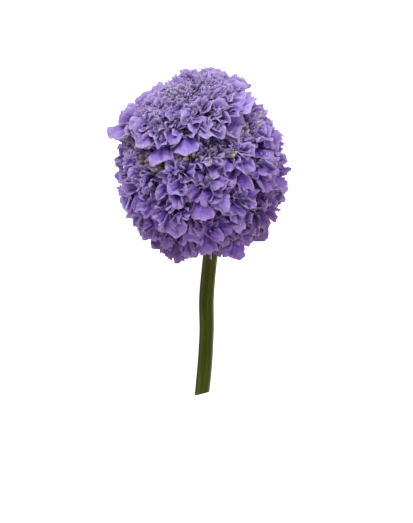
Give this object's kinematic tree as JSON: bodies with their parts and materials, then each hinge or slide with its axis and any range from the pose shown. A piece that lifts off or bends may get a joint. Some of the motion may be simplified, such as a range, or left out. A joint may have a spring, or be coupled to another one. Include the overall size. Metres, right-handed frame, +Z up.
{
  "type": "scabiosa flower",
  "caption": "Cut double scabiosa: a ball-shaped head of ruffled violet florets with a raised cap, on a short green stalk, lying on its side.",
  "frame": {"origin": "middle of the flower's outline on the surface it lies on", "axes": "+Z up from the surface, +Y from the stalk's cut end to the head"},
  "size_m": [0.0749, 0.1431, 0.0758],
  "materials": {
    "petals": "soft violet petals, lighter at the rims",
    "buds": "matte greyish lilac and olive",
    "bracts": "matte green with fine hairs",
    "stalk": "satin dark olive green, finely ribbed"
  },
  "bodies": {
    "root": {"florets": "petals", "crown_buds": "buds", "involucre": "bracts", "stalk": "stalk"}
  },
  "joints": []
}
